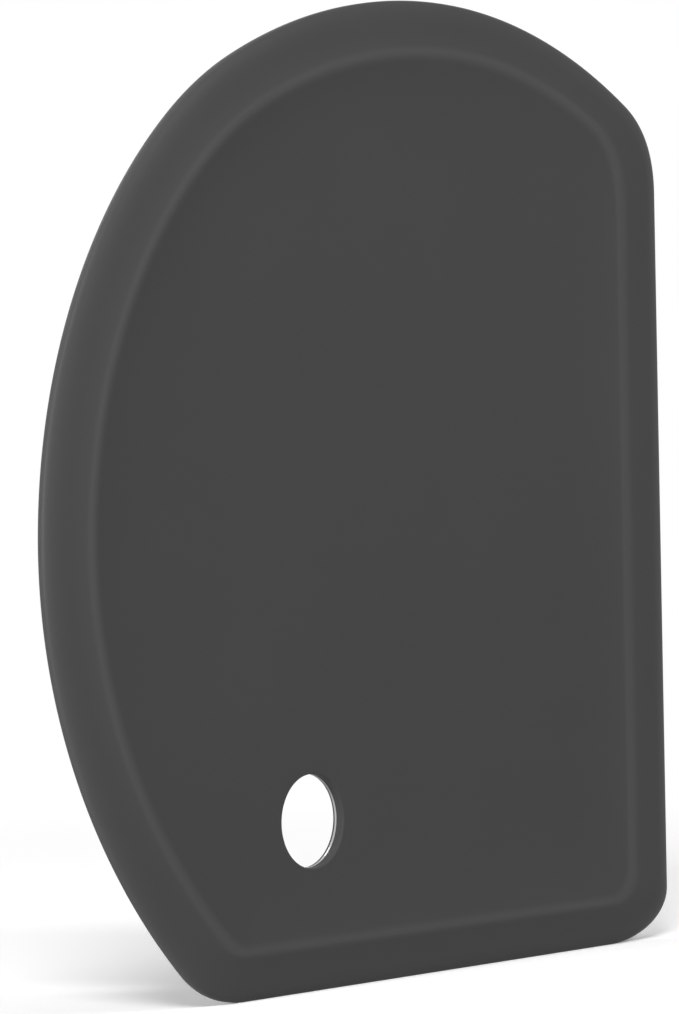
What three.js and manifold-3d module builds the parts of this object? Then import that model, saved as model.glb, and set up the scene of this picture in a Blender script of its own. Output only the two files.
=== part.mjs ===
// Bowl scraper: a D-shaped silicone blade moulded over a thin, perforated spring steel core.
// Millimetres. It stands on its straight foot edge. X runs along the foot with the long straight
// edge at +X, Y runs through the thickness with the front face towards -Y, and Z points up.

import * as THREE from 'three';
import { mergeVertices } from 'three/addons/utils/BufferGeometryUtils.js';
import Module from 'manifold-3d';

const degree = Math.PI / 180;

// Outline of the blade. The side bulges furthest at the belly and the top is highest at the crown.
// Three arcs join the two round the shoulder, which is the tightest of them. An arc leads on from
// the crown to the tip, and part of an ellipse from the belly to the toe.
const bladeWidth = 126.6;
const bladeHeight = 129.6;
const bellyHeight = 56.6;
const crownToLongEdge = 47.7;
const crownSweep = 28 * degree;
const shoulderSweep = 14.5 * degree;
const shoulderRadius = 56.5;
const tipRadius = 87;
const toeInset = 28.2;
const toeSweep = 43 * degree;
const squareCornerAcross = 14.2;
const squareCornerUp = 7.2;
const tipCornerRadius = 14.9;
const toeCornerRadius = 17.9;

// Border between the outline and the crest, and the crest's own corners
const longEdgeBorder = 10.7;
const footBorder = 6.2;
const sideBorder = 7.1;
const topBorder = 7.1;
const crestSquareRadius = 4.5;
const crestTipRadius = 14;
const crestToeRadius = 5;

// Section through the blade, the same on both faces
const edgeLandWidth = 0.5;
const lipThickness = 2.7;
const lipRound = 3.3;
const crestThickness = 4;
const crestRound = 0.6;
const panelThickness = 1.8;
const borderHollowShare = 0.35;
const panelFloorShare = 0.3;
const dishPower = 8;

// Hang hole
const hangHoleRadius = 6;
const hangHoleHeight = 21.7;
const hangHoleToSide = 47.6;

// Spring steel core, nearer to the back face, with the holes that the silicone's keys fill
const coreThickness = 0.3;
const backSkin = 0.35;
const coreInset = 1.5;
const coreCornerRadius = 4;
const keyHoleRadius = 3;
const keyPitch = 17;
const keyMargin = 5;
const mouldGap = 0.3;

// Cuts run this far past the faces that they open
const cutOverrun = 1;

// Facets
const cornerSteps = 7;
const sweepSteps = 10;
const crownSteps = 11;
const shoulderSteps = 6;
const flankSteps = 13;
const straightSteps = 8;
const lipSteps = 5;
const borderSteps = 4;
const crestSteps = 4;
const dishSteps = 8;
const holeSteps = 48;
const keySteps = 12;

// Places worked out from the sizes above
const longEdgeX = bladeWidth / 2;
const crownX = longEdgeX - crownToLongEdge;
const toeReachX = toeInset / (1 - Math.cos(toeSweep));
const toeReachZ = bellyHeight / Math.sin(toeSweep);
const toeSweepCentre = new THREE.Vector2(toeReachX - longEdgeX, bellyHeight);
const tipSweepCentre = new THREE.Vector2(crownX, bladeHeight - tipRadius);
const panelCentre = new THREE.Vector2(0, bladeHeight / 2);
const hangHole = new THREE.Vector2(hangHoleToSide - longEdgeX, hangHoleHeight);

// A stretch of outline, without its last point, which the next stretch starts with
function stretch(curve, steps) {
  return curve.getPoints(steps).slice(0, steps);
}

function straight(from, to) {
  return stretch(new THREE.LineCurve(from, to), straightSteps);
}

function ellipse(centre, reachX, reachZ) {
  return {
    at: (angle) => new THREE.Vector2(
      centre.x + reachX * Math.cos(angle),
      centre.y + reachZ * Math.sin(angle),
    ),
    tangent: (angle) => new THREE.Vector2(-reachX * Math.sin(angle), reachZ * Math.cos(angle)),
    sweep: (from, to, steps) => stretch(
      new THREE.EllipseCurve(centre.x, centre.y, reachX, reachZ, from, to),
      steps,
    ),
  };
}

// Rounded corner where an elliptical sweep meets a straight edge. The side is 1 where the sweep
// leads away from the corner, and -1 where it leads up to it.
function sweepCorner(curve, angle, edge, radius, side) {
  const corner = curve.at(angle);
  const lead = curve.tangent(angle);
  const setback = radius * Math.tan(lead.angleTo(edge) / 2);
  const stop = angle + side * setback / lead.length();
  const point = curve.at(stop);
  const tangent = curve.tangent(stop);
  const reach = point.clone().sub(corner).cross(edge) / edge.cross(tangent);
  const control = point.clone().addScaledVector(tangent, reach);
  const edgePoint = corner.clone().addScaledVector(edge, -side * setback);
  const ends = side > 0 ? [edgePoint, point] : [point, edgePoint];
  const round = new THREE.QuadraticBezierCurve(ends[0], control, ends[1]);
  return { stop, edgePoint, points: stretch(round, cornerSteps) };
}

// Arcs over the crown, round the shoulder and down the flank, which meet without a corner. The
// first and the last get the radii that bring them from the crown to the belly.
function crownToBelly(inset) {
  const shoulderReach = shoulderRadius - inset.side;
  const across = crownX + longEdgeX - inset.side - shoulderReach;
  const down = bladeHeight - bellyHeight - inset.top - shoulderReach;
  const crownEnd = Math.PI / 2 + crownSweep;
  const shoulderEnd = crownEnd + shoulderSweep;
  const solver = new THREE.Matrix3(
    -Math.cos(crownEnd), 1 + Math.cos(shoulderEnd), 0,
    1 - Math.sin(crownEnd), Math.sin(shoulderEnd), 0,
    0, 0, 1,
  );
  const growth = new THREE.Vector3(across, down, 0).applyMatrix3(solver.invert());
  const crownReach = shoulderReach + growth.x;
  const flankReach = shoulderReach + growth.y;
  const crown = new THREE.Vector2(crownX, bladeHeight - inset.top - crownReach);
  const flank = new THREE.Vector2(inset.side - longEdgeX + flankReach, bellyHeight);
  const shoulder = crown.clone();
  shoulder.x += growth.x * Math.cos(crownEnd);
  shoulder.y += growth.x * Math.sin(crownEnd);
  return [
    ...ellipse(crown, crownReach, crownReach).sweep(Math.PI / 2, crownEnd, crownSteps),
    ...ellipse(shoulder, shoulderReach, shoulderReach).sweep(crownEnd, shoulderEnd, shoulderSteps),
    ...ellipse(flank, flankReach, flankReach).sweep(shoulderEnd, Math.PI, flankSteps),
  ];
}

// Closed outline, drawn in by its own amount at the long edge, the foot, the side and the top.
// It starts at the square corner and runs up the long edge, over the top and down to the foot.
function outline(inset, corners) {
  const right = longEdgeX - inset.longEdge;
  const square = new THREE.Vector2(right - corners.squareAcross, inset.foot + corners.squareUp);
  const squareCorner = ellipse(square, corners.squareAcross, corners.squareUp);
  const tipReachX = tipRadius - inset.longEdge;
  const tipCurve = ellipse(tipSweepCentre, tipReachX, tipRadius - inset.top);
  const tipAngle = Math.acos((right - tipSweepCentre.x) / tipReachX);
  const tip = sweepCorner(tipCurve, tipAngle, new THREE.Vector2(0, 1), corners.tip, 1);
  const toeCurve = ellipse(toeSweepCentre, toeReachX - inset.side, toeReachZ - inset.side);
  const toeAngle = Math.asin((bellyHeight - inset.foot) / (toeReachZ - inset.side)) + Math.PI;
  const toe = sweepCorner(toeCurve, toeAngle, new THREE.Vector2(1, 0), corners.toe, -1);
  return [
    ...squareCorner.sweep(-Math.PI / 2, 0, cornerSteps),
    ...straight(new THREE.Vector2(right, square.y), tip.edgePoint),
    ...tip.points,
    ...tipCurve.sweep(tip.stop, Math.PI / 2, sweepSteps),
    ...crownToBelly(inset),
    ...toeCurve.sweep(Math.PI, toe.stop, sweepSteps),
    ...toe.points,
    ...straight(toe.edgePoint, new THREE.Vector2(square.x, inset.foot)),
  ];
}

function edgeOutline(inset) {
  return outline(
    { longEdge: inset, foot: inset, side: inset, top: inset },
    {
      squareAcross: squareCornerAcross - inset,
      squareUp: squareCornerUp - inset,
      tip: tipCornerRadius - inset,
      toe: toeCornerRadius - inset,
    },
  );
}

function blend(from, to, share) {
  return from.map((point, i) => point.clone().lerp(to[i], share));
}

const crestOutline = outline(
  { longEdge: longEdgeBorder, foot: footBorder, side: sideBorder, top: topBorder },
  {
    squareAcross: crestSquareRadius,
    squareUp: crestSquareRadius,
    tip: crestTipRadius,
    toe: crestToeRadius,
  },
);
const floorOutline = crestOutline.map((point) => panelCentre.clone().lerp(point, panelFloorShare));

// Section of one face, from the edge to the panel's floor: how far in, and the height over the
// middle plane. The lip rounds up from the edge's land, the border climbs to the crest, a little
// hollow on the way, and the dish falls away from the crest and flattens out.
const edgeHalf = edgeLandWidth / 2;
const lipHalf = lipThickness / 2;
const crestHalf = crestThickness / 2;
const panelHalf = panelThickness / 2;
const borderRun = sideBorder - lipRound;
const dishRun = (1 - panelFloorShare) * (longEdgeX - sideBorder);

const border = {
  half: (inset) => {
    const share = (inset - lipRound) / borderRun;
    const climb = share * (1 - borderHollowShare * (1 - share));
    return lipHalf + (crestHalf - lipHalf) * climb;
  },
  slope: (inset) => {
    const share = (inset - lipRound) / borderRun;
    const steepness = 1 + borderHollowShare * (2 * share - 1);
    return (crestHalf - lipHalf) * steepness / borderRun;
  },
};

const dish = {
  half: (inset) => {
    const rest = Math.max(0, 1 - (inset - sideBorder) / dishRun);
    return panelHalf + (crestHalf - panelHalf) * rest ** dishPower;
  },
  slope: (inset) => {
    const rest = Math.max(0, 1 - (inset - sideBorder) / dishRun);
    return (panelHalf - crestHalf) * dishPower * rest ** (dishPower - 1) / dishRun;
  },
};

// Point of a section, or one further along its tangent
function along(part, inset, further = 0) {
  return new THREE.Vector2(inset + further, part.half(inset) + part.slope(inset) * further);
}

function faceSection() {
  const lip = new THREE.QuadraticBezierCurve(
    new THREE.Vector2(0, edgeHalf),
    along(border, lipRound, -lipRound),
    along(border, lipRound),
  );
  const crestFrom = sideBorder - crestRound;
  const crestTo = sideBorder + crestRound;
  const pull = (crestTo - crestFrom) / 3;
  const crest = new THREE.CubicBezierCurve(
    along(border, crestFrom),
    along(border, crestFrom, pull),
    along(dish, crestTo, -pull),
    along(dish, crestTo),
  );
  const borderLine = stretch(
    new THREE.LineCurve(new THREE.Vector2(lipRound, 0), new THREE.Vector2(crestFrom, 0)),
    borderSteps,
  );
  const dishLine = new THREE.LineCurve(
    new THREE.Vector2(crestTo, 0),
    new THREE.Vector2(sideBorder + dishRun, 0),
  ).getPoints(dishSteps);
  return [
    ...stretch(lip, lipSteps),
    ...borderLine.map((point) => along(border, point.x)),
    ...stretch(crest, crestSteps),
    ...dishLine.map((point) => along(dish, point.x)),
  ];
}

// The outline at a distance in from the edge, as the section counts it
function outlineAt(inset) {
  if (inset <= lipRound) {
    return edgeOutline(inset);
  }
  if (inset <= sideBorder) {
    return blend(edgeOutline(lipRound), crestOutline, (inset - lipRound) / borderRun);
  }
  return blend(crestOutline, floorOutline, (inset - sideBorder) / dishRun);
}

// Closed skin through rings of equal count, from a point on the front to a point on the back
function skin(rings, first, last) {
  const count = rings[0].length;
  const points = [...rings.flat(), first, last];
  const firstIndex = points.length - 2;
  const lastIndex = points.length - 1;
  const triangles = [];
  for (let j = 0; j < count; j += 1) {
    const next = (j + 1) % count;
    triangles.push(firstIndex, j, next);
    for (let k = 0; k + 1 < rings.length; k += 1) {
      const a = k * count;
      const b = a + count;
      triangles.push(a + j, b + j, b + next);
      triangles.push(a + j, b + next, a + next);
    }
    const end = (rings.length - 1) * count;
    triangles.push(end + j, lastIndex, end + next);
  }
  const geometry = new THREE.BufferGeometry().setFromPoints(points);
  geometry.setIndex(triangles);
  return geometry;
}

function bladeSkin() {
  const front = [];
  const back = [];
  for (const station of faceSection()) {
    const ring = outlineAt(station.x);
    front.unshift(ring.map((point) => new THREE.Vector3(point.x, -station.y, point.y)));
    back.push(ring.map((point) => new THREE.Vector3(point.x, station.y, point.y)));
  }
  return skin(
    [...front, ...back],
    new THREE.Vector3(panelCentre.x, -panelHalf, panelCentre.y),
    new THREE.Vector3(panelCentre.x, panelHalf, panelCentre.y),
  );
}

// Distance of a point inside a convex outline, negative outside it
function depthInside(point, corners) {
  let depth = Infinity;
  corners.forEach((corner, i) => {
    const side = corners[(i + 1) % corners.length].clone().sub(corner).normalize();
    depth = Math.min(depth, side.cross(point.clone().sub(corner)));
  });
  return depth;
}

function circle(centre, radius, steps) {
  return new THREE.ArcCurve(centre.x, centre.y, radius, 0, 2 * Math.PI).getPoints(steps).slice(0, steps);
}

function coreOutline(grow) {
  const inset = coreInset - grow;
  const corner = coreCornerRadius + grow;
  return outline(
    {
      longEdge: longEdgeBorder + inset,
      foot: footBorder + inset,
      side: sideBorder + inset,
      top: topBorder + inset,
    },
    { squareAcross: corner, squareUp: corner, tip: corner, toe: corner },
  );
}

// Staggered rows of key holes, wherever one fits in the core clear of its edge and the hang hole
function keyCentres() {
  const edge = coreOutline(0);
  const rowPitch = keyPitch * Math.sin(60 * degree);
  const rows = Math.ceil(bladeHeight / rowPitch);
  const columns = Math.ceil(bladeWidth / keyPitch);
  const centres = [];
  for (let row = -rows; row <= rows; row += 1) {
    for (let column = -columns; column <= columns; column += 1) {
      const centre = new THREE.Vector2(
        hangHole.x + (column + (row % 2) / 2) * keyPitch,
        hangHole.y + row * rowPitch,
      );
      const clearOfEdge = depthInside(centre, edge) >= keyHoleRadius + keyMargin;
      const toHangHole = centre.distanceTo(hangHole) - hangHoleRadius;
      if (clearOfEdge && toHangHole >= keyHoleRadius + keyMargin) {
        centres.push(centre);
      }
    }
  }
  return centres;
}

// Flat sheet of the core's thickness in the core's place, from an outline and its holes
const sheetTurn = new THREE.Matrix4().makeBasis(
  new THREE.Vector3(1, 0, 0),
  new THREE.Vector3(0, 0, 1),
  new THREE.Vector3(0, -1, 0),
);

function sheet(edge, holes) {
  const shape = new THREE.Shape(edge);
  shape.holes = holes.map((points) => new THREE.Path(points));
  const geometry = new THREE.ExtrudeGeometry(shape, { depth: coreThickness, bevelEnabled: false });
  geometry.applyMatrix4(sheetTurn);
  return geometry.translate(0, panelHalf - backSkin, 0);
}

const wasm = await Module();
wasm.setup();

function toSolid(geometry) {
  const bare = geometry.clone();
  bare.deleteAttribute('normal');
  bare.deleteAttribute('uv');
  const merged = mergeVertices(bare);
  return new wasm.Manifold(new wasm.Mesh({
    numProp: 3,
    vertProperties: merged.getAttribute('position').array,
    triVerts: new Uint32Array(merged.getIndex().array),
  }));
}

function toGeometry(solid) {
  const mesh = solid.getMesh();
  const geometry = new THREE.BufferGeometry();
  geometry.setAttribute('position', new THREE.BufferAttribute(mesh.vertProperties, 3));
  geometry.setIndex(new THREE.BufferAttribute(mesh.triVerts, 1));
  geometry.computeVertexNormals();
  return geometry;
}

function hangHoleCut() {
  const length = crestThickness + 2 * cutOverrun;
  const cut = new THREE.CylinderGeometry(hangHoleRadius, hangHoleRadius, length, holeSteps);
  return cut.translate(hangHole.x, 0, hangHole.y);
}

function siliconeBody(keys) {
  const pillars = keys.map((centre) => circle(centre, keyHoleRadius - mouldGap, keySteps));
  const pocket = sheet(coreOutline(mouldGap), pillars);
  const blade = toSolid(bladeSkin()).subtract(toSolid(pocket)).subtract(toSolid(hangHoleCut()));
  const material = new THREE.MeshStandardMaterial({ color: 0x464646, roughness: 0.6, metalness: 0 });
  const mesh = new THREE.Mesh(toGeometry(blade), material);
  mesh.name = 'silicone_body';
  return mesh;
}

function corePlate(keys) {
  const openings = [
    circle(hangHole, hangHoleRadius, holeSteps),
    ...keys.map((centre) => circle(centre, keyHoleRadius, keySteps)),
  ];
  const material = new THREE.MeshStandardMaterial({ color: 0xb9bcc0, roughness: 0.35, metalness: 1 });
  const mesh = new THREE.Mesh(sheet(coreOutline(0), openings), material);
  mesh.name = 'core_plate';
  return mesh;
}

const keys = keyCentres();
const scraper = new THREE.Group();
scraper.add(siliconeBody(keys), corePlate(keys));

export default scraper;
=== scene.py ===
"""Looks of the bowl scraper: a matt silicone blade moulded over a perforated spring steel core."""

import math

import bpy
import numpy as np
from mathutils import Matrix, Vector


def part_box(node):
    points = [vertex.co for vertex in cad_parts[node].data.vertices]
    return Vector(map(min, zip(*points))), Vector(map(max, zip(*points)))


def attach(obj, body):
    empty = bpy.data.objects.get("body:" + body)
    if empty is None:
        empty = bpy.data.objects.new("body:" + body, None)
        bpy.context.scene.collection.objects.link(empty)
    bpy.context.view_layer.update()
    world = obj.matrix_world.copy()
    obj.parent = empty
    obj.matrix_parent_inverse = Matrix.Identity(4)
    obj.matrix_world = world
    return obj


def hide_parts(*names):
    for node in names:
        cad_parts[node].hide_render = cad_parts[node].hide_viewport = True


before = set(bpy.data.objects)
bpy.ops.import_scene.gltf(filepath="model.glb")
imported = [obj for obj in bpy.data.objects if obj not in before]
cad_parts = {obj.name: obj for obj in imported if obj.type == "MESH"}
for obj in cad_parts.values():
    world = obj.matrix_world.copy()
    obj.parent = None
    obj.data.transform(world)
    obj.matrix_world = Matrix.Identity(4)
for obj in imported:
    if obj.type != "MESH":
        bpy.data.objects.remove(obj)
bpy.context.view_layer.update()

MM = 0.001
DEGREE = math.pi / 180

# Outline of the blade. The frame gives its width and height.
BLADE_LOW, BLADE_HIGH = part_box("silicone_body")
LONG_EDGE_X = BLADE_HIGH.x
BLADE_HEIGHT = BLADE_HIGH.z
BELLY_HEIGHT = 56.6 * MM
CROWN_X = LONG_EDGE_X - 47.7 * MM
CROWN_SWEEP = 28 * DEGREE
SHOULDER_SWEEP = 14.5 * DEGREE
SHOULDER_RADIUS = 56.5 * MM
TIP_RADIUS = 87 * MM
TOE_INSET = 28.2 * MM
TOE_SWEEP = 43 * DEGREE
EDGE_CORNERS = {"square_across": 14.2 * MM, "square_up": 7.2 * MM, "tip": 14.9 * MM, "toe": 17.9 * MM}

# Crest: how far in from the outline it runs, and its own corners
CREST_INSETS = {"long_edge": 10.7 * MM, "foot": 6.2 * MM, "side": 7.1 * MM, "top": 7.1 * MM}
CREST_CORNERS = {"square_across": 4.5 * MM, "square_up": 4.5 * MM, "tip": 14 * MM, "toe": 5 * MM}

# Section through the blade, from its edge to the middle of a face, as half thicknesses
EDGE_HALF = 0.25 * MM
LIP_HALF = 1.35 * MM
LIP_ROUND = 3.3 * MM
CREST_HALF = 2 * MM
CREST_ROUND = 0.6 * MM
PANEL_HALF = 0.9 * MM
BORDER_HOLLOW_SHARE = 0.35
FLOOR_SHARE = 0.3
DISH_POWER = 8.0
BORDER = CREST_INSETS["side"]
DISH_RUN = (1 - FLOOR_SHARE) * (LONG_EDGE_X - BORDER)
PANEL_CENTRE = np.array([0.0, BLADE_HEIGHT / 2])

# Hang hole, with its softly rounded rims
HOLE_RADIUS = 6 * MM
HOLE_CENTRE = np.array([47.6 * MM - LONG_EDGE_X, 21.7 * MM])
RIM_ROUND = 0.25 * MM

# Pocket round the core, and the keys that cross it
CORE_LOW, CORE_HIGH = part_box("core_plate")
CORE_INSET = 1.5 * MM
CORE_CORNER = 4 * MM
MOULD_GAP = 0.3 * MM
KEY_HOLE_RADIUS = 3 * MM
KEY_PITCH = 17 * MM
KEY_MARGIN = 5 * MM
KEY_ROW_TURN = 60 * DEGREE
PILLAR_OVERRUN = 4
WELD = 0.001 * MM

# Steps of the fine mesh
STEPS = {"corner": 20, "straight": 44, "tip": 34, "crown": 40, "shoulder": 24, "flank": 52, "toe": 44}
LIP_STEPS = 9
BORDER_STEPS = 9
CREST_STEPS = 10
COLLAR_STEPS = 4
COLLAR_SHARE = 0.9
PANEL_STEPS = 40
RIM_STEPS = 6
WALL_STEPS = 4
LAND_STEPS = 2
KEY_SIDES = 32
CREASE_ANGLE = 40 * DEGREE

# Camera that took the photograph: what it saw the hang hole's front rim at, and from where
PHOTO_WIDTH = 679
PHOTO_HEIGHT = 1014
FOCAL_PIXELS = 3600
SENSOR = 36
HOLE_PIXEL = (313.1, 821.2)
HOLE_FRONT = Vector((HOLE_CENTRE[0], -PANEL_HALF, HOLE_CENTRE[1]))
VIEW_DISTANCE = 459.3 * MM
VIEW_YAW = -50.02 * DEGREE
VIEW_PITCH = -0.9 * DEGREE
VIEW_ROLL = -0.98 * DEGREE
CLIP_RATIO = 100

# Grain that a mould or a roll leaves: its noise, and the part of it that is a high spot
GRAIN_DETAIL = 2
GRAIN_ROUGHNESS = 0.6
HIGH_SPOTS = (0.5, 0.75)

# Handling: the noise of patches and scuffs with the part that each takes of it, how scuffs turn, and how many
# times longer than wide they are
PATCH_DETAIL = 3
PATCH_CUT = (0.3, 0.7)
SCUFF_DETAIL = 1
SCUFF_CUT = (0.68, 0.8)
SCUFF_TURNS = (0.35, 1.9)
SCUFF_SLIMNESS = 40

# Silicone: linear greys of the moulded faces and of the lighter crest line, which is a painted highlight and
# which the wear patches and scuffs share too, and roughness of the faces and of the polished lip and crest
SILICONE_GREY = 0.047
SILICONE_WEAR_AND_HIGHLIGHT_GREY = 0.062
SILICONE_ROUGHNESS = 0.5
SILICONE_POLISHED = 0.4
SILICONE_SPECULAR = 0.07
SILICONE_IOR = 1.41
MOULD_GRAIN = 0.22 * MM
MOULD_GRAIN_HEIGHT = 0.004 * MM
MOULD_GRAIN_POLISH = -0.03
LIP_POLISH = (0.6 * LIP_ROUND, LIP_ROUND)
# Band round the crest that is polished and carries a painted highlight, and how much of the lighter grey that
# highlight takes
CREST_POLISH_AND_HIGHLIGHT_BAND = (0.1 * MM, 1.3 * MM)
CREST_PAINTED_HIGHLIGHT = 0.8
SILICONE_PATCH = 30 * MM
SILICONE_PATCH_WORN = 0.12
SILICONE_PATCH_DULL = 0.02
SILICONE_SCUFF = 14 * MM
SILICONE_SCUFF_WORN = 0.1

# Line round the edge where the mould's halves meet: half its share of the edge's land, and its height
PARTING_SHARE = 0.1
PARTING_HEIGHT = 0.03 * MM

# Spring steel: linear greys of the rolled faces and of their bright lines, its rolled grain and its marks
STEEL_GREY = 0.42
STEEL_BRIGHT_GREY = 0.56
STEEL_ROUGHNESS = 0.28
ROLLING_GRAIN = 0.06 * MM
ROLLING_STRETCH = 60
ROLLING_HEIGHT = 0.001 * MM
STEEL_PATCH = 18 * MM
STEEL_PATCH_DULL = 0.08
STEEL_SCUFF = 9 * MM
STEEL_SCUFF_BRIGHT = 0.4

# Floor: its white as it lights the object and as it is seen, the glow that it is seen with near the object,
# and where that runs out to plain white
FLOOR_REACH = 1.5
FLOOR_ROUGHNESS = 0.9
FLOOR_WHITE = 0.8
SEEN_WHITE = 0.97
NEAR_GLOW = 0.09
PLAIN_CUT = (0.12, 0.35)
AMBIENT = 0.05

# Lamps: direction from the blade's middle as azimuth and elevation, distance, size and power
LAMPS = {
    "left": (-85 * DEGREE, 5 * DEGREE, 1.0, 0.45, 12.4),
    "key": (-55 * DEGREE, 38 * DEGREE, 1.0, 0.35, 6.4),
    "right": (25 * DEGREE, 35 * DEGREE, 1.0, 0.3, 2.9),
    "top": (40 * DEGREE, 80 * DEGREE, 1.0, 0.45, 2.4),
    "back": (180 * DEGREE, 35 * DEGREE, 1.0, 0.45, 2.5),
}


def unit(vector):
    return vector / np.linalg.norm(vector)


def cross(a, b):
    return a[0] * b[1] - a[1] * b[0]


def straight(start, end, steps):
    shares = np.arange(steps)[:, None] / steps
    return start + (end - start) * shares


def bezier(start, control, end, steps):
    t = np.arange(steps)[:, None] / steps
    return (1 - t) ** 2 * start + 2 * t * (1 - t) * control + t**2 * end


class Sweep:
    """Part of an ellipse, which leads the outline from the side or the top to a straight edge."""

    def __init__(self, centre, reach):
        self.centre = np.array(centre)
        self.reach = np.array(reach)

    def at(self, angle):
        return self.centre + self.reach * np.array([math.cos(angle), math.sin(angle)])

    def tangent(self, angle):
        return self.reach * np.array([-math.sin(angle), math.cos(angle)])

    def points(self, start, end, steps):
        return np.array([self.at(angle) for angle in straight(start, end, steps)[:, 0]])


def sweep_corner(sweep, angle, edge, radius, side):
    """Rounded corner where a sweep meets a straight edge. Side is 1 where the sweep leads away."""
    corner = sweep.at(angle)
    along = sweep.tangent(angle)
    turn = math.acos(np.dot(unit(along), edge))
    setback = radius * math.tan(turn / 2)
    stop = angle + side * setback / np.linalg.norm(along)
    point = sweep.at(stop)
    tangent = sweep.tangent(stop)
    reach = cross(point - corner, edge) / cross(edge, tangent)
    control = point + tangent * reach
    edge_point = corner - edge * side * setback
    ends = (edge_point, point) if side > 0 else (point, edge_point)
    return stop, edge_point, bezier(ends[0], control, ends[1], STEPS["corner"])


def crown_to_belly(insets):
    """Three arcs that meet without a corner: the crown and the flank get the radii that reach the belly."""
    top, side = insets["top"], insets["side"]
    radius = SHOULDER_RADIUS - side
    across = CROWN_X + LONG_EDGE_X - side - radius
    down = BLADE_HEIGHT - BELLY_HEIGHT - top - radius
    start, end = CROWN_SWEEP, CROWN_SWEEP + SHOULDER_SWEEP
    arcs = np.array([
        [math.sin(start), 1 - math.sin(end)],
        [1 - math.cos(start), math.cos(end)],
    ])
    crown, flank = np.linalg.solve(arcs, [across, down]) + radius
    place = np.array([CROWN_X, BLADE_HEIGHT - top - crown])
    points = []
    last = crown
    for name, reach, (low, high) in (
        ("crown", crown, (0, start)),
        ("shoulder", radius, (start, end)),
        ("flank", flank, (end, math.pi / 2)),
    ):
        place = place + (last - reach) * np.array([-math.sin(low), math.cos(low)])
        arc = Sweep(place, (reach, reach))
        points.append(arc.points(math.pi / 2 + low, math.pi / 2 + high, STEPS[name]))
        last = reach
    return np.concatenate(points)


def outline(insets, corners):
    """The blade's outline, drawn in by its own amount on each side. It starts up the long edge."""
    right = LONG_EDGE_X - insets["long_edge"]
    square_reach = (corners["square_across"], corners["square_up"])
    square = np.array([right - square_reach[0], insets["foot"] + square_reach[1]])
    tip = Sweep(
        (CROWN_X, BLADE_HEIGHT - TIP_RADIUS),
        (TIP_RADIUS - insets["long_edge"], TIP_RADIUS - insets["top"]),
    )
    tip_angle = math.acos((right - tip.centre[0]) / tip.reach[0])
    toe_reach = (TOE_INSET / (1 - math.cos(TOE_SWEEP)), BELLY_HEIGHT / math.sin(TOE_SWEEP))
    toe = Sweep(
        (toe_reach[0] - LONG_EDGE_X, BELLY_HEIGHT),
        (toe_reach[0] - insets["side"], toe_reach[1] - insets["side"]),
    )
    toe_angle = math.pi + math.asin((BELLY_HEIGHT - insets["foot"]) / toe.reach[1])
    tip_stop, tip_edge, tip_corner = sweep_corner(tip, tip_angle, np.array([0, 1]), corners["tip"], 1)
    toe_stop, toe_edge, toe_corner = sweep_corner(toe, toe_angle, np.array([1, 0]), corners["toe"], -1)
    square_corner = Sweep(square, square_reach)
    square_top = np.array([right, square[1]])
    square_foot = np.array([square[0], insets["foot"]])
    return np.concatenate([
        square_corner.points(-math.pi / 2, 0, STEPS["corner"]),
        straight(square_top, tip_edge, STEPS["straight"]),
        tip_corner,
        tip.points(tip_stop, math.pi / 2, STEPS["tip"]),
        crown_to_belly(insets),
        toe.points(math.pi, toe_stop, STEPS["toe"]),
        toe_corner,
        straight(toe_edge, square_foot, STEPS["straight"]),
    ])


def edge_outline(inset):
    insets = dict.fromkeys(CREST_INSETS, inset)
    return outline(insets, {corner: reach - inset for corner, reach in EDGE_CORNERS.items()})


def core_outline(grow):
    insets = {side: crest + CORE_INSET - grow for side, crest in CREST_INSETS.items()}
    return outline(insets, dict.fromkeys(CREST_CORNERS, CORE_CORNER + grow))


CREST = outline(CREST_INSETS, CREST_CORNERS)


def dish_inset(points):
    """How far in from the edge points on the panel are, as the section counts it."""
    spokes = CREST - PANEL_CENTRE
    angles = np.arctan2(spokes[:, 1], spokes[:, 0])
    reaches = np.linalg.norm(spokes, axis=1)
    own = points - PANEL_CENTRE
    reach = np.interp(np.arctan2(own[:, 1], own[:, 0]), angles, reaches, period=2 * math.pi)
    share = np.linalg.norm(own, axis=1) / reach
    return BORDER + (1 - share) / (1 - FLOOR_SHARE) * DISH_RUN


def border_rings():
    """Rings of the border, from the edge to the start of the crest."""
    insets = [LIP_ROUND * (step / LIP_STEPS) ** 2 for step in range(LIP_STEPS)]
    rings = [(edge_outline(inset), inset) for inset in insets]
    lip_end = edge_outline(LIP_ROUND)
    for inset in np.linspace(LIP_ROUND, BORDER - CREST_ROUND, BORDER_STEPS, endpoint=False):
        share = (inset - LIP_ROUND) / (BORDER - LIP_ROUND)
        rings.append((lip_end + (CREST - lip_end) * share, inset))
    for inset in np.linspace(BORDER - CREST_ROUND, BORDER, CREST_STEPS // 2, endpoint=False):
        share = (inset - LIP_ROUND) / (BORDER - LIP_ROUND)
        rings.append((lip_end + (CREST - lip_end) * share, inset))
    return rings


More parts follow.
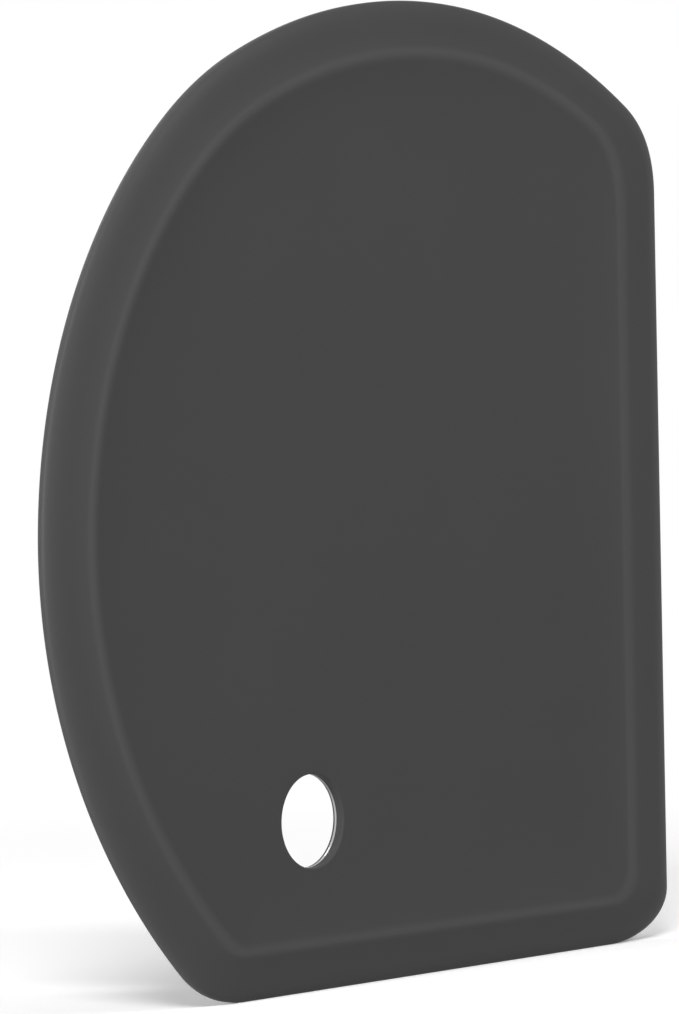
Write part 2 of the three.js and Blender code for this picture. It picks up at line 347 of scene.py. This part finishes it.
def panel_rings():
    """Rings from the crest to the hang hole's rim: drawn in to the panel's middle at first, then to it."""
    crest_end = 1 - CREST_ROUND / DISH_RUN * (1 - FLOOR_SHARE)
    shares = np.concatenate([
        np.linspace(1, crest_end, CREST_STEPS // 2, endpoint=False),
        np.linspace(crest_end, COLLAR_SHARE, COLLAR_STEPS, endpoint=False),
    ])
    rings = [PANEL_CENTRE + (CREST - PANEL_CENTRE) * share for share in shares]
    collar = PANEL_CENTRE + (CREST - PANEL_CENTRE) * COLLAR_SHARE
    spokes = collar - HOLE_CENTRE
    spokes = spokes / np.linalg.norm(spokes, axis=1)[:, None]
    rim = HOLE_CENTRE + spokes * (HOLE_RADIUS + RIM_ROUND)
    rings += [collar + (rim - collar) * share for share in np.arange(PANEL_STEPS) / PANEL_STEPS]
    for step in range(RIM_STEPS + 1):
        roll = step / RIM_STEPS * math.pi / 2
        rings.append(HOLE_CENTRE + spokes * (HOLE_RADIUS + RIM_ROUND * (1 - math.sin(roll))))
    return [(ring, dish_inset(ring)) for ring in rings]


def blade_blank():
    """Closed flat blank of the blade. Each point has its inset, and its side: -1 in front, 1 at the back."""
    face = border_rings() + panel_rings()
    loop = [(ring, inset, -1) for ring, inset in face]
    wall = face[-1]
    loop += [(*wall, side) for side in np.linspace(-1, 1, WALL_STEPS + 1)[1:-1]]
    loop += [(ring, inset, 1) for ring, inset in reversed(face)]
    land = face[0]
    loop += [(*land, side) for side in np.linspace(1, -1, LAND_STEPS + 1)[1:-1]]
    count = len(CREST)
    points = np.concatenate([ring for ring, inset, side in loop])
    insets = np.concatenate([np.broadcast_to(inset, count) for ring, inset, side in loop])
    sides = np.repeat([side for ring, inset, side in loop], count)
    ids = np.arange(len(loop) * count).reshape(len(loop), count)
    across = np.roll(ids, -1, axis=0)
    corners = [ids, np.roll(ids, -1, axis=1), np.roll(across, -1, axis=1), across]
    quads = np.stack(corners, axis=-1).reshape(-1, 4)
    mesh = bpy.data.meshes.new("blade_blank")
    flat = np.stack([points[:, 0], np.zeros(len(points)), points[:, 1]], axis=1)
    mesh.from_pydata(flat.tolist(), [], quads.tolist())
    for name, values in (("inset", insets), ("side", sides)):
        attribute = mesh.attributes.new(name, "FLOAT", "POINT")
        attribute.data.foreach_set("value", values.astype(np.float32))
    return mesh


def new_socket(tree, name, way, kind):
    tree.interface.new_socket(name=name, in_out=way, socket_type=kind)


def feed(tree, socket, value):
    if isinstance(value, bpy.types.NodeSocket):
        tree.links.new(value, socket)
    else:
        socket.default_value = value


def add(tree, kind, inputs=None, **settings):
    """A node with its settings and its inputs, by name or by number."""
    node = tree.nodes.new(kind)
    for name, value in settings.items():
        setattr(node, name, value)
    for key, value in (inputs or {}).items():
        feed(tree, node.inputs[key], value)
    return node


def math_of(tree, operation, *values):
    node = add(tree, "ShaderNodeMath", dict(enumerate(values)), operation=operation)
    return node.outputs[0]


def switch(tree, test, otherwise, chosen):
    inputs = {"Switch": test, "False": otherwise, "True": chosen}
    return add(tree, "GeometryNodeSwitch", inputs, input_type="FLOAT").outputs[0]


def attribute_of(tree, name):
    return add(tree, "GeometryNodeInputNamedAttribute", {"Name": name}, data_type="FLOAT").outputs[0]


def cut_away(tree, mesh, cutter):
    inputs = {"Mesh 1": mesh, "Mesh 2": cutter}
    return add(tree, "GeometryNodeMeshBoolean", inputs, operation="DIFFERENCE", solver="MANIFOLD").outputs[0]


def new_geometry_tree(name, sockets):
    """A tree with named inputs, and what its input node gives."""
    tree = bpy.data.node_groups.new(name, "GeometryNodeTree")
    new_socket(tree, "Geometry", "INPUT", "NodeSocketGeometry")
    new_socket(tree, "Geometry", "OUTPUT", "NodeSocketGeometry")
    for socket, kind in sockets.items():
        new_socket(tree, socket, "INPUT", kind)
    return tree, add(tree, "NodeGroupInput").outputs


def close_tree(tree, geometry, material):
    """Every tree ends in plain geometry with its material on."""
    plain = add(tree, "GeometryNodeRealizeInstances", {"Geometry": geometry}).outputs[0]
    dressed = add(tree, "GeometryNodeSetMaterial", {"Geometry": plain, "Material": material}).outputs[0]
    add(tree, "NodeGroupOutput", {"Geometry": dressed})


def shaded(tree, geometry, crease_angle):
    """Smooth all over but for the edges that turn by more than the crease angle."""
    smooth = add(tree, "GeometryNodeSetShadeSmooth", {"Geometry": geometry, "Shade Smooth": True})
    angle = add(tree, "GeometryNodeInputMeshEdgeAngle").outputs["Unsigned Angle"]
    soft = math_of(tree, "LESS_THAN", angle, crease_angle)
    inputs = {"Geometry": smooth.outputs[0], "Shade Smooth": soft}
    return add(tree, "GeometryNodeSetShadeSmooth", inputs, domain="EDGE").outputs[0]


def quadratic(tree, t, start, control, end):
    """Height along a quadratic curve."""
    back = math_of(tree, "SUBTRACT", 1, t)
    first = math_of(tree, "MULTIPLY", math_of(tree, "MULTIPLY", back, back), start)
    second = math_of(tree, "MULTIPLY", math_of(tree, "MULTIPLY", back, t), control)
    third = math_of(tree, "MULTIPLY", math_of(tree, "MULTIPLY", t, t), end)
    return math_of(tree, "ADD", math_of(tree, "MULTIPLY_ADD", second, 2, first), third)


def border_curve(tree, inset, size):
    """The border climbs from the lip to the crest, a little hollow on the way. Its height and slope."""
    run = math_of(tree, "SUBTRACT", size["Border"], size["Lip Round"])
    share = math_of(tree, "DIVIDE", math_of(tree, "SUBTRACT", inset, size["Lip Round"]), run)
    rest = math_of(tree, "SUBTRACT", 1, share)
    fall = math_of(tree, "SUBTRACT", 1, math_of(tree, "MULTIPLY", rest, size["Border Hollow Share"]))
    rise = math_of(tree, "SUBTRACT", size["Crest Half"], size["Lip Half"])
    height = math_of(tree, "MULTIPLY_ADD", math_of(tree, "MULTIPLY", share, fall), rise, size["Lip Half"])
    lean = math_of(tree, "SUBTRACT", share, rest)
    steepness = math_of(tree, "MULTIPLY_ADD", lean, size["Border Hollow Share"], 1)
    return height, math_of(tree, "DIVIDE", math_of(tree, "MULTIPLY", rise, steepness), run)


def lip_height(tree, inset, size):
    """The lip rounds up from the edge's land and meets the border without a corner."""
    foot, slope = border_curve(tree, size["Lip Round"], size)
    control = math_of(tree, "SUBTRACT", foot, math_of(tree, "MULTIPLY", slope, size["Lip Round"]))
    t = math_of(tree, "SQRT", math_of(tree, "DIVIDE", inset, size["Lip Round"]))
    return quadratic(tree, t, size["Edge Half"], control, foot)


def dish_curve(tree, inset, size):
    """The dish falls away from the crest and flattens out. Its height and slope."""
    run = math_of(tree, "DIVIDE", math_of(tree, "SUBTRACT", inset, size["Border"]), size["Dish Run"])
    rest = math_of(tree, "MAXIMUM", math_of(tree, "SUBTRACT", 1, run), 0)
    fall = math_of(tree, "POWER", rest, size["Dish Power"])
    rise = math_of(tree, "SUBTRACT", size["Crest Half"], size["Panel Half"])
    height = math_of(tree, "MULTIPLY_ADD", fall, rise, size["Panel Half"])
    pace = math_of(tree, "DIVIDE", math_of(tree, "MULTIPLY", rise, size["Dish Power"]), size["Dish Run"])
    steepness = math_of(tree, "POWER", rest, math_of(tree, "SUBTRACT", size["Dish Power"], 1))
    return height, math_of(tree, "MULTIPLY", math_of(tree, "MULTIPLY", pace, steepness), -1)


def crest_height(tree, inset, size):
    """The crest is rounded between the border and the dish, and meets both along their slopes."""
    start = math_of(tree, "SUBTRACT", size["Border"], size["Crest Round"])
    end = math_of(tree, "ADD", size["Border"], size["Crest Round"])
    width = math_of(tree, "SUBTRACT", end, start)
    t = math_of(tree, "DIVIDE", math_of(tree, "SUBTRACT", inset, start), width)
    back = math_of(tree, "SUBTRACT", 1, t)
    climb, climb_slope = border_curve(tree, start, size)
    fall, fall_slope = dish_curve(tree, end, size)
    pull = math_of(tree, "DIVIDE", width, 3)
    first = math_of(tree, "MULTIPLY_ADD", climb_slope, pull, climb)
    second = math_of(tree, "SUBTRACT", fall, math_of(tree, "MULTIPLY", fall_slope, pull))
    early = quadratic(tree, t, climb, first, second)
    late = quadratic(tree, t, first, second, fall)
    return math_of(tree, "MULTIPLY_ADD", early, back, math_of(tree, "MULTIPLY", late, t))


def rim_drop(tree, size):
    """How far the hang hole's rounded rim has fallen below the face."""
    place = add(tree, "ShaderNodeSeparateXYZ", {0: add(tree, "GeometryNodeInputPosition").outputs[0]})
    x = math_of(tree, "SUBTRACT", place.outputs["X"], size["Hole X"])
    z = math_of(tree, "SUBTRACT", place.outputs["Z"], size["Hole Z"])
    squares = math_of(tree, "MULTIPLY_ADD", x, x, math_of(tree, "MULTIPLY", z, z))
    away = math_of(tree, "SUBTRACT", math_of(tree, "SQRT", squares), size["Hole Radius"])
    depth = math_of(tree, "MAXIMUM", math_of(tree, "SUBTRACT", size["Rim Round"], away), 0)
    depth = math_of(tree, "MINIMUM", depth, size["Rim Round"])
    leg = math_of(tree, "SUBTRACT", math_of(tree, "MULTIPLY", size["Rim Round"], size["Rim Round"]),
                  math_of(tree, "MULTIPLY", depth, depth))
    left = math_of(tree, "SQRT", math_of(tree, "MAXIMUM", leg, 0))
    return math_of(tree, "SUBTRACT", size["Rim Round"], left)


SECTION_SIZES = {
    "Edge Half": EDGE_HALF,
    "Lip Half": LIP_HALF,
    "Lip Round": LIP_ROUND,
    "Border": BORDER,
    "Border Hollow Share": BORDER_HOLLOW_SHARE,
    "Crest Half": CREST_HALF,
    "Crest Round": CREST_ROUND,
    "Panel Half": PANEL_HALF,
    "Dish Run": DISH_RUN,
    "Dish Power": DISH_POWER,
    "Hole X": HOLE_CENTRE[0],
    "Hole Z": HOLE_CENTRE[1],
    "Hole Radius": HOLE_RADIUS,
    "Rim Round": RIM_ROUND,
    "Crease Angle": CREASE_ANGLE,
}


def section_height(tree, size):
    """Half thickness of the blade at each point, from how far in from the edge it lies."""
    inset = attribute_of(tree, "inset")
    crest_start = math_of(tree, "SUBTRACT", size["Border"], size["Crest Round"])
    crest_end = math_of(tree, "ADD", size["Border"], size["Crest Round"])
    height = switch(
        tree,
        math_of(tree, "GREATER_THAN", inset, crest_end),
        crest_height(tree, inset, size),
        dish_curve(tree, inset, size)[0],
    )
    height = switch(
        tree,
        math_of(tree, "LESS_THAN", inset, crest_start),
        height,
        border_curve(tree, inset, size)[0],
    )
    height = switch(
        tree,
        math_of(tree, "LESS_THAN", inset, size["Lip Round"]),
        height,
        lip_height(tree, inset, size),
    )
    return math_of(tree, "SUBTRACT", height, rim_drop(tree, size))


def blade_tree():
    """Lifts the flat blank to the blade's moulded section on both faces, and cuts the core's pocket out."""
    kinds = dict.fromkeys(SECTION_SIZES, "NodeSocketFloat")
    sockets = kinds | {"Pocket": "NodeSocketObject", "Material": "NodeSocketMaterial"}
    tree, given = new_geometry_tree("moulded_blade", sockets)
    y = math_of(tree, "MULTIPLY", section_height(tree, given), attribute_of(tree, "side"))
    offset = add(tree, "ShaderNodeCombineXYZ", {"Y": y}).outputs[0]
    lifted = add(tree, "GeometryNodeSetPosition", {"Geometry": given["Geometry"], "Offset": offset})
    pocket = add(tree, "GeometryNodeObjectInfo", {"Object": given["Pocket"]}).outputs["Geometry"]
    cut = cut_away(tree, lifted.outputs[0], pocket)
    close_tree(tree, shaded(tree, cut, given["Crease Angle"]), given["Material"])
    return tree


def key_points():
    """Staggered rows of keys, wherever one fits in the core clear of its edge and the hang hole."""
    edge = core_outline(0)
    sides = np.roll(edge, -1, axis=0) - edge
    sides = sides / np.linalg.norm(sides, axis=1)[:, None]
    row_pitch = KEY_PITCH * math.sin(KEY_ROW_TURN)
    rows = math.ceil(BLADE_HEIGHT / row_pitch)
    columns = math.ceil(2 * LONG_EDGE_X / KEY_PITCH)
    points = []
    for row in range(-rows, rows + 1):
        for column in range(-columns, columns + 1):
            step = np.array([(column + row % 2 / 2) * KEY_PITCH, row * row_pitch])
            to_edge = np.min(cross(sides.T, (HOLE_CENTRE + step - edge).T))
            to_hole = np.linalg.norm(step) - HOLE_RADIUS
            if min(to_edge, to_hole) >= KEY_HOLE_RADIUS + KEY_MARGIN:
                points.append(HOLE_CENTRE + step)
    return np.array(points)


def pocket_sheet():
    """One face of the pocket's outline, with a loose point for each key."""
    edge = core_outline(MOULD_GAP)[::-1]
    keys = key_points()
    points = np.concatenate([edge, keys])
    mesh = bpy.data.meshes.new("pocket_sheet")
    flat = np.stack([points[:, 0], np.full(len(points), CORE_LOW.y), points[:, 1]], axis=1)
    mesh.from_pydata(flat.tolist(), [], [list(range(len(edge)))])
    marks = mesh.attributes.new("key", "BOOLEAN", "POINT")
    marks.data.foreach_set("value", [False] * len(edge) + [True] * len(keys))
    return mesh


def pocket_tree():
    """The pocket's sheet gets its depth, and the keys' pillars are left standing in it."""
    kinds = {
        "Depth": "NodeSocketFloat",
        "Key Radius": "NodeSocketFloat",
        "Key Sides": "NodeSocketInt",
        "Material": "NodeSocketMaterial",
    }
    tree, given = new_geometry_tree("keyed_pocket", kinds)
    key = add(tree, "GeometryNodeInputNamedAttribute", {"Name": "key"}, data_type="BOOLEAN").outputs[0]
    inputs = {"Geometry": given["Geometry"], "Selection": key}
    parts = add(tree, "GeometryNodeSeparateGeometry", inputs).outputs
    offset = add(tree, "ShaderNodeCombineXYZ", {"Y": given["Depth"]}).outputs[0]
    inputs = {"Mesh": parts["Inverted"], "Offset": offset, "Individual": False}
    walls = add(tree, "GeometryNodeExtrudeMesh", inputs).outputs["Mesh"]
    bottom = add(tree, "GeometryNodeFlipFaces", {"Mesh": parts["Inverted"]}).outputs[0]
    slab = add(tree, "GeometryNodeJoinGeometry", {"Geometry": walls})
    feed(tree, slab.inputs["Geometry"], bottom)
    slab = add(tree, "GeometryNodeMergeByDistance", {"Geometry": slab.outputs[0], "Distance": WELD})
    pillar = add(tree, "GeometryNodeMeshCylinder", {
        "Vertices": given["Key Sides"],
        "Radius": given["Key Radius"],
        "Depth": math_of(tree, "MULTIPLY", given["Depth"], PILLAR_OVERRUN),
    })
    pillars = add(tree, "GeometryNodeInstanceOnPoints", {
        "Points": parts["Selection"],
        "Instance": pillar.outputs["Mesh"],
        "Rotation": (math.pi / 2, 0, 0),
    }).outputs[0]
    pillars = add(tree, "GeometryNodeRealizeInstances", {"Geometry": pillars}).outputs[0]
    close_tree(tree, cut_away(tree, slab.outputs[0], pillars), given["Material"])
    return tree


def shaped(name, mesh, tree, values):
    """An object whose mesh a Geometry Nodes tree works on, with the tree's inputs set."""
    piece = bpy.data.objects.new(name, mesh)
    mesh.materials.append(values["Material"])
    bpy.context.scene.collection.objects.link(piece)
    modifier = piece.modifiers.new(tree.name, "NODES")
    modifier.node_group = tree
    for item in tree.interface.items_tree:
        if item.name in values:
            modifier[item.identifier] = values[item.name]
    return piece


def made_plain(piece):
    """The piece keeps what its modifiers make of its mesh, and loses them."""
    depsgraph = bpy.context.evaluated_depsgraph_get()
    made = bpy.data.meshes.new_from_object(piece.evaluated_get(depsgraph))
    piece.modifiers.clear()
    piece.data = made
    made.name = piece.name


def silicone_blade(dress):
    pocket = shaped("pocket", pocket_sheet(), pocket_tree(), {
        "Depth": CORE_HIGH.y - CORE_LOW.y,
        "Key Radius": KEY_HOLE_RADIUS - MOULD_GAP,
        "Key Sides": KEY_SIDES,
        "Material": dress,
    })
    piece = shaped("silicone_blade", blade_blank(), blade_tree(), SECTION_SIZES | {
        "Pocket": pocket,
        "Material": dress,
    })
    made_plain(piece)
    bpy.data.objects.remove(pocket)
    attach(piece, "root")
    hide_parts("silicone_body")


def new_material(name):
    material = bpy.data.materials.new(name)
    material.use_nodes = True
    return material, material.node_tree, material.node_tree.nodes["Principled BSDF"]


def new_effect(name, inputs, outputs):
    """A shader group of numbers with named inputs and outputs, and what its input node gives."""
    tree = bpy.data.node_groups.new(name, "ShaderNodeTree")
    new_socket(tree, "Vector", "INPUT", "NodeSocketVector")
    for socket in inputs:
        new_socket(tree, socket, "INPUT", "NodeSocketFloat")
    for socket in outputs:
        new_socket(tree, socket, "OUTPUT", "NodeSocketFloat")
    return tree, add(tree, "NodeGroupInput").outputs


def use_effect(tree, effect, inputs):
    return add(tree, "ShaderNodeGroup", inputs, node_tree=effect).outputs


def remapped(tree, value, low, high, to_low=0, to_high=1):
    """The value, with the stretch from low to high made a smooth step."""
    inputs = {"Value": value, "From Min": low, "From Max": high, "To Min": to_low, "To Max": to_high}
    return add(tree, "ShaderNodeMapRange", inputs, interpolation_type="SMOOTHSTEP").outputs["Result"]


def grain_effect():
    """Even grain that a mould or a roll leaves, stretched along X by the given ratio."""
    tree, given = new_effect("fine_grain", ("Size", "Stretch"), ("Height", "High Spots"))
    scale = math_of(tree, "DIVIDE", 1, given["Size"])
    along = math_of(tree, "DIVIDE", scale, given["Stretch"])
    ratios = add(tree, "ShaderNodeCombineXYZ", {"X": along, "Y": scale, "Z": scale}).outputs[0]
    inputs = {0: given["Vector"], 1: ratios}
    place = add(tree, "ShaderNodeVectorMath", inputs, operation="MULTIPLY").outputs[0]
    inputs = {"Vector": place, "Scale": 1, "Detail": GRAIN_DETAIL, "Roughness": GRAIN_ROUGHNESS}
    height = add(tree, "ShaderNodeTexNoise", inputs).outputs["Fac"]
    add(tree, "NodeGroupOutput", {"Height": height, "High Spots": remapped(tree, height, *HIGH_SPOTS)})
    return tree


def handling_effect():
    """What use leaves on a surface: soft cloudy patches, and sparse thin scuffs that run both ways."""
    tree, given = new_effect("handling_marks", ("Patch Size", "Scuff Length"), ("Patches", "Scuffs"))
    scale = math_of(tree, "DIVIDE", 1, given["Patch Size"])
    inputs = {"Vector": given["Vector"], "Scale": scale, "Detail": PATCH_DETAIL}
    patches = add(tree, "ShaderNodeTexNoise", inputs).outputs["Fac"]
    scuffs = 0
    for turn in SCUFF_TURNS:
        inputs = {"Vector": given["Vector"], "Rotation": (0, turn, 0)}
        turned = add(tree, "ShaderNodeMapping", inputs).outputs[0]
        scale = math_of(tree, "DIVIDE", 1, given["Scuff Length"])
        across = math_of(tree, "MULTIPLY", scale, SCUFF_SLIMNESS)
        ratios = add(tree, "ShaderNodeCombineXYZ", {"X": scale, "Y": scale, "Z": across}).outputs[0]
        place = add(tree, "ShaderNodeVectorMath", {0: turned, 1: ratios}, operation="MULTIPLY").outputs[0]
        inputs = {"Vector": place, "Scale": 1, "Detail": SCUFF_DETAIL}
        lines = add(tree, "ShaderNodeTexNoise", inputs).outputs["Fac"]
        scuffs = math_of(tree, "MAXIMUM", remapped(tree, lines, *SCUFF_CUT), scuffs)
    add(tree, "NodeGroupOutput", {"Patches": remapped(tree, patches, *PATCH_CUT), "Scuffs": scuffs})
    return tree


def grey(level):
    return (level, level, level, 1)


def object_place(tree):
    return add(tree, "ShaderNodeTexCoord").outputs["Object"]


def surface_attribute(tree, name):
    return add(tree, "ShaderNodeAttribute", attribute_name=name).outputs["Fac"]


def mixed(tree, share, first, second):
    """Grey between two greys."""
    node = add(tree, "ShaderNodeMix", data_type="RGBA")
    feed(tree, node.inputs["Factor"], share)
    sockets = [socket for socket in node.inputs if socket.type == "RGBA"]
    for socket, level in zip(sockets, (first, second)):
        socket.default_value = grey(level)
    return next(socket for socket in node.outputs if socket.type == "RGBA")


def bumped(tree, height):
    """Normal of a height in metres."""
    return add(tree, "ShaderNodeBump", {"Height": height, "Distance": 1}).outputs[0]


def lip_and_crest_masks(tree):
    """Masks of the lip and the crest, which rub on bowls and hands and are polished; the crest's mask also
    carries a painted highlight.
    """
    inset = surface_attribute(tree, "inset")
    lip = remapped(tree, inset, *LIP_POLISH, 1, 0)
    to_crest = math_of(tree, "ABSOLUTE", math_of(tree, "SUBTRACT", inset, BORDER))
    return lip, remapped(tree, to_crest, *CREST_POLISH_AND_HIGHLIGHT_BAND, 1, 0)


def parting_line(tree):
    """Mask of the fine line round the edge where the mould's halves meet."""
    side = math_of(tree, "ABSOLUTE", surface_attribute(tree, "side"))
    return remapped(tree, side, PARTING_SHARE, 2 * PARTING_SHARE, 1, 0)


def silicone(grain, handling):
    material, tree, shader = new_material("matt_silicone")
    place = object_place(tree)
    mould = use_effect(tree, grain, {"Vector": place, "Size": MOULD_GRAIN, "Stretch": 1})
    inputs = {"Vector": place, "Patch Size": SILICONE_PATCH, "Scuff Length": SILICONE_SCUFF}
    marks = use_effect(tree, handling, inputs)
    lip, crest = lip_and_crest_masks(tree)
    polish = math_of(tree, "MAXIMUM", lip, crest)
    # Lighter crest line: a painted highlight. Patches and scuffs are real wear in the same lighter grey.
    wear_and_highlight = math_of(tree, "MULTIPLY", crest, CREST_PAINTED_HIGHLIGHT)
    wear_and_highlight = math_of(tree, "MULTIPLY_ADD", marks["Patches"], SILICONE_PATCH_WORN, wear_and_highlight)
    wear_and_highlight = math_of(tree, "MULTIPLY_ADD", marks["Scuffs"], SILICONE_SCUFF_WORN, wear_and_highlight)
    feed(tree, shader.inputs["Base Color"], mixed(tree, wear_and_highlight, SILICONE_GREY, SILICONE_WEAR_AND_HIGHLIGHT_GREY))
    change = SILICONE_POLISHED - SILICONE_ROUGHNESS
    rough = math_of(tree, "MULTIPLY_ADD", polish, change, SILICONE_ROUGHNESS)
    rough = math_of(tree, "MULTIPLY_ADD", marks["Patches"], SILICONE_PATCH_DULL, rough)
    rough = math_of(tree, "MULTIPLY_ADD", mould["High Spots"], MOULD_GRAIN_POLISH, rough)
    feed(tree, shader.inputs["Roughness"], rough)
    height = math_of(tree, "MULTIPLY", mould["Height"], MOULD_GRAIN_HEIGHT)
    height = math_of(tree, "MULTIPLY_ADD", parting_line(tree), PARTING_HEIGHT, height)
    feed(tree, shader.inputs["Normal"], bumped(tree, height))
    shader.inputs["Specular IOR Level"].default_value = SILICONE_SPECULAR
    shader.inputs["IOR"].default_value = SILICONE_IOR
    return material


def spring_steel(grain, handling):
    material, tree, shader = new_material("spring_steel")
    place = object_place(tree)
    inputs = {"Vector": place, "Size": ROLLING_GRAIN, "Stretch": ROLLING_STRETCH}
    rolled = use_effect(tree, grain, inputs)
    inputs = {"Vector": place, "Patch Size": STEEL_PATCH, "Scuff Length": STEEL_SCUFF}
    marks = use_effect(tree, handling, inputs)
    bright = math_of(tree, "MULTIPLY_ADD", marks["Scuffs"], STEEL_SCUFF_BRIGHT, rolled["High Spots"])
    feed(tree, shader.inputs["Base Color"], mixed(tree, bright, STEEL_GREY, STEEL_BRIGHT_GREY))
    rough = math_of(tree, "MULTIPLY_ADD", marks["Patches"], STEEL_PATCH_DULL, STEEL_ROUGHNESS)
    feed(tree, shader.inputs["Roughness"], rough)
    height = math_of(tree, "MULTIPLY", rolled["Height"], ROLLING_HEIGHT)
    feed(tree, shader.inputs["Normal"], bumped(tree, height))
    shader.inputs["Metallic"].default_value = 1
    return material


def dress_core(steel):
    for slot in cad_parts["core_plate"].material_slots:
        slot.material = steel


def photo_camera():
    data = bpy.data.cameras.new("photo_camera")
    data.sensor_width = SENSOR
    data.lens = FOCAL_PIXELS / PHOTO_HEIGHT * SENSOR
    data.clip_start = VIEW_DISTANCE / CLIP_RATIO
    data.clip_end = VIEW_DISTANCE * CLIP_RATIO
    camera = bpy.data.objects.new("photo_camera", data)
    bpy.context.scene.collection.objects.link(camera)
    turn = (
        Matrix.Rotation(VIEW_YAW, 3, "Z")
        @ Matrix.Rotation(math.pi / 2 - VIEW_PITCH, 3, "X")
        @ Matrix.Rotation(VIEW_ROLL, 3, "Z")
    )
    to_hole = Vector((
        (HOLE_PIXEL[0] - PHOTO_WIDTH / 2) / FOCAL_PIXELS,
        (PHOTO_HEIGHT / 2 - HOLE_PIXEL[1]) / FOCAL_PIXELS,
        -1,
    ))
    place = HOLE_FRONT - turn @ (to_hole * VIEW_DISTANCE)
    camera.matrix_world = Matrix.Translation(place) @ turn.to_4x4()
    bpy.context.scene.camera = camera


def seen_rays(tree):
    """1 for what is seen by the camera or in a gloss or a glass, and 0 for what lights other things."""
    path = add(tree, "ShaderNodeLightPath").outputs
    seen = math_of(tree, "MAXIMUM", path["Is Camera Ray"], path["Is Glossy Ray"])
    return math_of(tree, "MAXIMUM", seen, path["Is Transmission Ray"])


def floor_material():
    """White floor that takes shadows near the object and runs out to plain white."""
    material, tree, shader = new_material("studio_floor")
    shader.inputs["Base Color"].default_value = grey(FLOOR_WHITE)
    shader.inputs["Roughness"].default_value = FLOOR_ROUGHNESS
    lit = add(tree, "ShaderNodeBsdfDiffuse", {"Color": grey(SEEN_WHITE)}).outputs[0]
    glow = add(tree, "ShaderNodeEmission", {"Strength": NEAR_GLOW}).outputs[0]
    near = add(tree, "ShaderNodeAddShader", {0: lit, 1: glow}).outputs[0]
    away = add(tree, "ShaderNodeVectorMath", {0: object_place(tree)}, operation="LENGTH").outputs["Value"]
    plain = remapped(tree, away, *PLAIN_CUT)
    white = add(tree, "ShaderNodeEmission", {"Strength": 1}).outputs[0]
    seen = add(tree, "ShaderNodeMixShader", {0: plain, 1: near, 2: white}).outputs[0]
    inputs = {0: seen_rays(tree), 1: shader.outputs[0], 2: seen}
    blend = add(tree, "ShaderNodeMixShader", inputs).outputs[0]
    feed(tree, tree.nodes["Material Output"].inputs["Surface"], blend)
    return material


def studio_floor():
    mesh = bpy.data.meshes.new("studio_floor")
    corners = [(x * FLOOR_REACH, y * FLOOR_REACH, 0) for x, y in ((-1, -1), (1, -1), (1, 1), (-1, 1))]
    mesh.from_pydata(corners, [], [range(len(corners))])
    floor = bpy.data.objects.new("studio_floor", mesh)
    bpy.context.scene.collection.objects.link(floor)
    mesh.materials.append(floor_material())


def studio_world():
    world = bpy.data.worlds.new("studio")
    bpy.context.scene.world = world
    world.use_nodes = True
    tree = world.node_tree
    backdrop = tree.nodes["Background"]
    strength = math_of(tree, "MULTIPLY_ADD", seen_rays(tree), 1 - AMBIENT, AMBIENT)
    feed(tree, backdrop.inputs["Strength"], strength)
    backdrop.inputs["Color"].default_value = grey(1)


def studio_lamps():
    middle = Vector((0, 0, BLADE_HEIGHT / 2))
    for name, (azimuth, elevation, distance, size, power) in LAMPS.items():
        data = bpy.data.lights.new(name, "AREA")
        data.shape = "DISK"
        data.size = size
        data.energy = power
        lamp = bpy.data.objects.new(name, data)
        bpy.context.scene.collection.objects.link(lamp)
        level = math.cos(elevation)
        away = Vector((math.sin(azimuth) * level, -math.cos(azimuth) * level, math.sin(elevation)))
        lamp.location = middle + away * distance
        lamp.rotation_mode = "QUATERNION"
        lamp.rotation_quaternion = away.to_track_quat("Z", "Y")


bpy.context.scene.view_settings.view_transform = "Standard"
photo_camera()
fine_grain = grain_effect()
handling_marks = handling_effect()
silicone_blade(silicone(fine_grain, handling_marks))
dress_core(spring_steel(fine_grain, handling_marks))
studio_floor()
studio_world()
studio_lamps()
